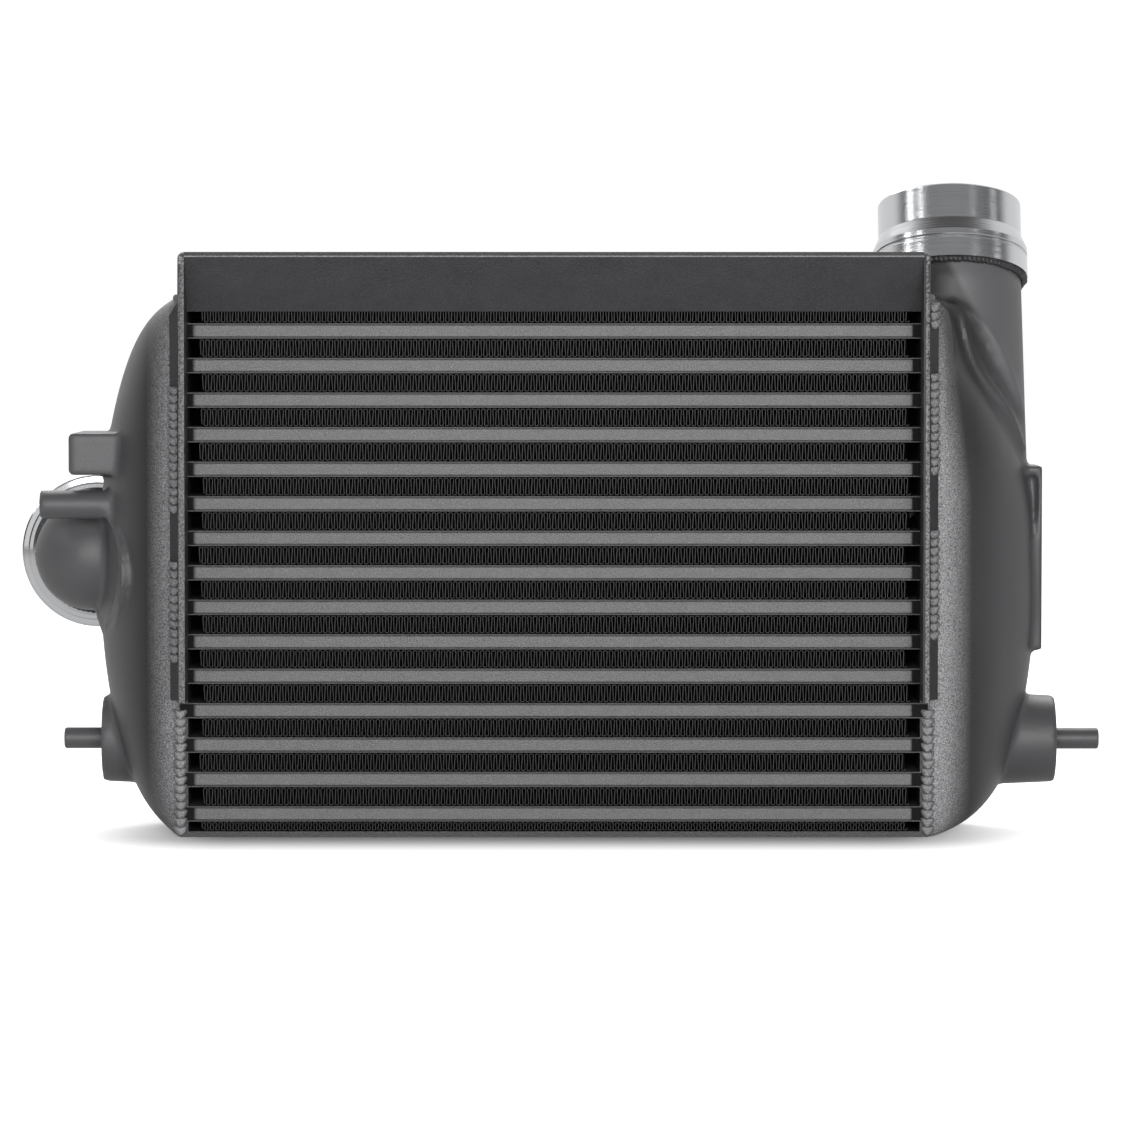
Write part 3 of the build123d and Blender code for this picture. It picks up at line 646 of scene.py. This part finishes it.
# ring welds: one lump of weld metal, copied round the foot of each port ring
ringLump = {"radius": 2.1, "step": 2.5, "wobble": 1.5, "sunk": 0.9}
for word, place in ringPlace.items():
    lean = radians(place["lean"])
    axis = Vector((0, sin(lean), cos(lean)))
    centre, radius = Vector(place["centre"]), place["weldRadius"] * mm
    at = centre - axis * ringLump["sunk"] * mm + sideways * radius
    bpy.ops.mesh.primitive_uv_sphere_add(
        segments=12, ring_count=8, radius=ringLump["radius"] * mm, location=at)
    piece = bpy.context.object
    placeMesh(piece)
    bpy.ops.object.mode_set(mode="EDIT")
    bpy.ops.mesh.select_all(action="SELECT")
    lumps = int(2 * pi * radius / mm / ringLump["step"])
    bpy.ops.mesh.spin(steps=lumps, dupli=True, angle=2 * pi, center=centre, axis=axis)
    bpy.ops.mesh.remove_doubles(threshold=hair)
    bpy.ops.object.mode_set(mode="OBJECT")
    roughen(piece, weldLumps, ringLump["wobble"])
    faceOutwards(piece)
    piece.name = word + "RingRipples"
    # painted shade round the foot of the ring
    finish(piece, gapShadeCoat, [word + "_ring_weld"], 60)
print("ring welds made")


# castings: each tank's own solid, with the soft edges of a sand mould and the ridges beside the outlet neck
castBody = {"voxel": 1.5, "softening": 4}
inFront = -0.2  # y of a place in front of the whole part, metres: ridges are laid on from there
castRidges = {  # how far each stands out of the wall, and x, z and radius along its route, mm
    "land": {"on": "outlet", "stand": 0.3, "faces": (0, -1, 0), "route": (
        (200, 276, 5), (201, 268, 7), (201.2, 255, 8), (201.4, 240, 8), (201.6, 225, 8), (202, 210, 8))},
    "seatRim": {"on": "inlet", "stand": 0.8, "route": (
        (-237.6, 171.5, 1.6), (-233.2, 164.6, 2), (-229.4, 155.8, 2.2), (-227.6, 146.2, 2.2),
        (-227.9, 136.6, 2.2), (-229.8, 126, 2.2), (-233.2, 115.4, 2), (-238.4, 106.5, 1.6))},
    "shoulder": {"on": "outlet", "stand": 1.9, "route": (
        (203, 279, 2.5), (211, 276.5, 3), (215.5, 268, 3.2), (217.5, 257, 3.2), (220.5, 248, 3.2),
        (225, 240, 3.2), (231, 233, 3.2), (237, 226.5, 3), (241.5, 219, 3), (245, 210, 2.6),
        (248, 201, 2.2))},
    "neckEdge": {"on": "outlet", "stand": 1.2, "route": (
        (208, 280, 2.2), (216.5, 275.5, 2.6), (223, 270, 2.8), (229.5, 262.5, 2.8), (234.5, 255, 2.8),
        (239, 246.5, 2.8), (242.5, 237.5, 2.6), (246, 228.5, 2.4), (249, 218, 2.2), (251, 207, 2))}}
castHollow = {"on": "outlet", "deep": 1.5, "core": 2, "wide": 7, "route": (  # x, z and share of the depth
    (222.5, 265, 0.6), (224.6, 261, 0.8), (226.6, 257, 1), (228.6, 253.2, 1), (230.6, 249.4, 1),
    (232.6, 245.8, 1), (234.8, 242, 1), (237, 238.2, 1), (239.4, 234.4, 1), (241.6, 230.4, 1),
    (243.6, 226.4, 1), (245.4, 222.2, 0.9), (246.8, 218, 0.7))}


def makeRidge(name, body, ridge):  # a smooth rod sunk into the face of a body, placed from the front
    bpy.ops.curve.primitive_nurbs_path_add()
    rod = bpy.context.object
    rod.name = name
    line = rod.data
    line.bevel_depth = 1 * mm
    line.bevel_resolution = 3
    line.use_fill_caps = True
    line.splines.clear()
    spline = line.splines.new("NURBS")
    spline.points.add(len(ridge["route"]) - 1)
    for point, (x, z, radius) in zip(spline.points, ridge["route"]):
        at, normal = body.ray_cast(Vector((x * mm, inFront, z * mm)), backwards)[1:3]
        outwards = Vector(ridge.get("faces", normal))  # the wall's own way out, where none is given
        at = at + outwards * (ridge["stand"] - radius) * mm
        point.co = (at.x, at.y, at.z, 1)
        point.radius = radius
    spline.order_u = 3
    spline.use_endpoint_u = True
    activate(rod)
    bpy.ops.object.convert(target="MESH")
    return bpy.context.object


def pressHollow(body, hollow):  # pushes the face of a body in along a route
    presses = []
    for x, z, share in hollow["route"]:
        at, normal = body.ray_cast(Vector((x * mm, inFront, z * mm)), backwards)[1:3]
        presses.append((at, -normal * hollow["deep"] * share * mm))
    activate(body)
    bpy.ops.object.mode_set(mode="EDIT")
    for middle, push in presses:
        pick(body, "VERT", lambda at: (at - middle).length < hollow["core"] * mm)
        bpy.ops.transform.translate(
            value=push, use_proportional_edit=True, proportional_edit_falloff="SMOOTH",
            proportional_size=hollow["wide"] * mm)
    bpy.ops.object.mode_set(mode="OBJECT")


for word in sides:
    piece = cadCopy(word + "_tank", word + "Casting")
    bpy.ops.object.mode_set(mode="OBJECT")
    rods = [
        makeRidge(name + "Rod", piece, ridge) for name, ridge in castRidges.items() if ridge["on"] == word]
    piece = joinPieces([piece] + rods, word + "Casting")
    shapeWith(piece, "REMESH", {"mode": "VOXEL", "voxel_size": castBody["voxel"] * mm, "adaptivity": 0})
    if word == castHollow["on"]:
        pressHollow(piece, castHollow)
    shapeWith(piece, "SMOOTH", {"factor": 0.5, "iterations": castBody["softening"]})
    finish(piece, castCoat[word], [word + "_tank"], 60)
print("castings made")


# port rings: a turned profile, from the foot round the outside and back through the bore
ringProfile = {  # radius and height over the ring's foot, mm; the rest is the same on both rings
    "inlet": (
        (26.4, 0), (31.5, 0), (34.6, 0.9), (36.6, 3.4), (37.3, 3.6), (40.2, 8.6), (40.9, 9), (41, 9.4),
        (41, 10.6)),
    "outlet": ((33.6, 0), (41, 0), (41, 10.2), (40.8, 10.5)),
    "rest": (
        (40.3, 10.9), (40.3, 11.7), (40.8, 12.0), (41, 12.3), (41, 15.2), (40.8, 15.7), (38.3, 21.6),
        (38, 22.4), (38, 40.2), (37.7, 40.8), (37.2, 41), (33.2, 41), (32.5, 40.3), (32.5, 15.5)),
    "steps": 96}  # round the ring


def makeRing(name, word):
    place = ringPlace[word]
    route = ringProfile[word] + ringProfile["rest"]
    radius, height = route[0]
    bpy.ops.mesh.primitive_plane_add(size=1 * mm, location=(radius * mm, 0, height * mm))
    piece = bpy.context.object
    placeMesh(piece)
    bpy.ops.object.mode_set(mode="EDIT")
    bpy.ops.mesh.select_all(action="SELECT")
    bpy.ops.mesh.merge(type="CENTER")
    for nextRadius, nextHeight in route[1:] + route[:1]:
        bpy.ops.mesh.extrude_region_move(
            TRANSFORM_OT_translate={"value": ((nextRadius - radius) * mm, 0, (nextHeight - height) * mm)})
        radius, height = nextRadius, nextHeight
    bpy.ops.mesh.select_all(action="SELECT")
    bpy.ops.mesh.spin(steps=ringProfile["steps"], angle=2 * pi, center=(0, 0, 0), axis=(0, 0, 1))
    bpy.ops.mesh.select_all(action="SELECT")
    bpy.ops.mesh.remove_doubles(threshold=2 * hair)
    bpy.ops.object.mode_set(mode="OBJECT")
    piece.name = name
    piece.rotation_euler = (-radians(place["lean"]), 0, 0)
    piece.location = place["centre"]
    placeMesh(piece)
    faceOutwards(piece)
    return piece


for word in sides:
    piece = makeRing(word + "TurnedRing", word)
    finish(piece, turnedAluminium[word], [word + "_ring"], 12)
print("rings made")

# floor, light and camera
footShadow = {"halfSize": (0.165, 0.042, 0), "fade": 0.11}  # metres; the paper is white beyond it
floorMirrored = 0.25  # how bright the paper is where the part mirrors it
floorPaint, floorTree, floorShader, floorPlace = startFinish("paperFloor", {
    "Roughness": 0.9, "Base Color": toLinear("#cfcfcf")})
rays = addNode(floorTree, "ShaderNodeLightPath", {}, {})
mirrored = addNode(floorTree, "ShaderNodeMath", {"operation": "MULTIPLY", 1: floorMirrored}, {
    0: rays.outputs["Is Glossy Ray"]})
seen = addNode(floorTree, "ShaderNodeMath", {"operation": "MAXIMUM"}, {
    0: rays.outputs["Is Camera Ray"], 1: mirrored.outputs["Value"]})
seenToo = addNode(floorTree, "ShaderNodeMath", {"operation": "MAXIMUM"}, {
    0: seen.outputs["Value"], 1: rays.outputs["Is Transmission Ray"]})
mirroredPlace = addNode(floorTree, "ShaderNodeVectorMath", {"operation": "ABSOLUTE"}, {0: floorPlace})
outside = addNode(floorTree, "ShaderNodeVectorMath", {"operation": "SUBTRACT", 1: footShadow["halfSize"]}, {
    0: mirroredPlace.outputs["Vector"]})
beyond = addNode(floorTree, "ShaderNodeVectorMath", {"operation": "MAXIMUM", 1: (0, 0, 0)}, {
    0: outside.outputs["Vector"]})
away = addNode(floorTree, "ShaderNodeVectorMath", {"operation": "LENGTH"}, {0: beyond.outputs["Vector"]})
spread = addNode(floorTree, "ShaderNodeMapRange", {
    "interpolation_type": "SMOOTHSTEP", "From Min": 0.0, "From Max": footShadow["fade"], "To Min": 0.0,
    "To Max": 1.0}, {"Value": away.outputs["Value"]})
glow = addNode(floorTree, "ShaderNodeMath", {"operation": "MULTIPLY"}, {
    0: seenToo.outputs["Value"], 1: spread.outputs["Result"]})
floorShader.inputs["Emission Color"].default_value = (1, 1, 1, 1)
floorTree.links.new(glow.outputs["Value"], floorShader.inputs["Emission Strength"])
bpy.ops.mesh.primitive_plane_add(size=30)
floor = bpy.context.object
floor.name = "floor"
floor.data.materials.append(floorPaint)

world = bpy.data.worlds.new("studio")
bpy.context.scene.world = world
world.use_nodes = True
sky = world.node_tree
sky.nodes.clear()
rays = addNode(sky, "ShaderNodeLightPath", {}, {})
seen = addNode(sky, "ShaderNodeMath", {"operation": "MAXIMUM"}, {
    0: rays.outputs["Is Camera Ray"], 1: rays.outputs["Is Transmission Ray"]})
look = addNode(sky, "ShaderNodeSeparateXYZ", {}, {
    "Vector": addNode(sky, "ShaderNodeTexCoord", {}, {}).outputs["Generated"]})
skyBands = {  # axis of the view direction, where along it the band starts and ends, and its light at both
    "backdrop": ("Y", -0.05, 0.3, 0.03, 1.0),  # white behind the part, and a dim room in front of it
    "wall": ("Z", 0.25, 0.6, 0.0, 0.35),
    "ceiling": ("Z", 0.7, 0.95, 0.35, 0.12),
    "beside": ("Y", -0.55, 0.05, 0.0, 0.9),  # the backdrop's foot reaches farther round to the front
    "foot": ("Z", 0.08, 0.2, 1.0, 0.0)}
matteLight = 0.05  # of the room on what doesn't mirror it
band = {}
for name, (axis, start, end, startLight, endLight) in skyBands.items():
    ramp = addNode(sky, "ShaderNodeMapRange", {
        "interpolation_type": "SMOOTHSTEP", "From Min": start, "From Max": end,
        "To Min": startLight, "To Max": endLight}, {"Value": look.outputs[axis]})
    band[name] = ramp.outputs["Result"]
above = addNode(sky, "ShaderNodeMath", {"operation": "MINIMUM"}, {0: band["wall"], 1: band["ceiling"]})
besideFoot = addNode(sky, "ShaderNodeMath", {"operation": "MULTIPLY"}, {0: band["beside"], 1: band["foot"]})
behind = addNode(sky, "ShaderNodeMath", {"operation": "MAXIMUM"}, {
    0: band["backdrop"], 1: besideFoot.outputs["Value"]})
surround = addNode(sky, "ShaderNodeMath", {"operation": "MAXIMUM"}, {
    0: behind.outputs["Value"], 1: above.outputs["Value"]})
mirrored = addNode(sky, "ShaderNodeBackground", {"Color": (1, 1, 1, 1)}, {
    "Strength": surround.outputs["Value"]})
soft = addNode(sky, "ShaderNodeBackground", {"Color": (1, 1, 1, 1), "Strength": matteLight}, {})
white = addNode(sky, "ShaderNodeBackground", {"Color": (1, 1, 1, 1), "Strength": 1}, {})
room = addNode(sky, "ShaderNodeMixShader", {}, {
    0: rays.outputs["Is Glossy Ray"], 1: soft.outputs[0], 2: mirrored.outputs[0]})
both = addNode(sky, "ShaderNodeMixShader", {}, {
    0: seen.outputs["Value"], 1: room.outputs[0], 2: white.outputs[0]})
addNode(sky, "ShaderNodeOutputWorld", {}, {"Surface": both.outputs[0]})

lampAim = Vector((0, 0, 0.15))  # the middle of the part
lamps = {  # wide and tall in metres, bright in watts for each square metre of the panel
    "frontPanel": {"at": (0.25, -3.4, 0.62), "wide": 2.2, "tall": 1.1, "bright": 43},
    "leftStrip": {"at": (-1.8, -1.4, 1.4), "wide": 0.26, "tall": 0.36, "bright": 30},
    "leftStripToo": {"at": (-2.17, -0.66, 1.25), "wide": 0.34, "tall": 0.36, "bright": 30},
    "rightStrip": {"at": (1.57, -1.68, 1.5), "wide": 0.14, "tall": 0.3, "bright": 6},
    "rightStripToo": {"at": (2.26, -0.4, 1.2), "wide": 0.3, "tall": 0.3, "bright": 5},
    "topPanel": {"at": (0, 1.5, 1.95), "wide": 2.4, "tall": 1.3, "bright": 16},
}
for name, lamp in lamps.items():
    data = bpy.data.lights.new(name, "AREA")
    data.shape = "RECTANGLE"
    data.size, data.size_y = lamp["wide"], lamp["tall"]
    data.energy = lamp["bright"] * lamp["wide"] * lamp["tall"]
    light = bpy.data.objects.new(name, data)
    bpy.context.scene.collection.objects.link(light)
    light.location = lamp["at"]
    light.rotation_euler = (lampAim - Vector(lamp["at"])).to_track_quat("-Z", "Y").to_euler()

view = {"focalPixels": 5700, "imagePixels": 1125, "sensor": 36, "distance": 2.971, "pitch": 2.5,
        "aim": Vector((0.0044, -0.0475, 0.1436))}
cameraData = bpy.data.cameras.new("camera")
cameraData.sensor_width = view["sensor"]
cameraData.lens = view["sensor"] * view["focalPixels"] / view["imagePixels"]
camera = bpy.data.objects.new("camera", cameraData)
bpy.context.scene.collection.objects.link(camera)
tilt = radians(view["pitch"])
camera.location = view["aim"] - view["distance"] * Vector((0, cos(tilt), -sin(tilt)))
camera.rotation_euler = (pi / 2 - tilt, 0, 0)
bpy.context.scene.camera = camera
bpy.context.scene.view_settings.view_transform = "Standard"
print("stage set")
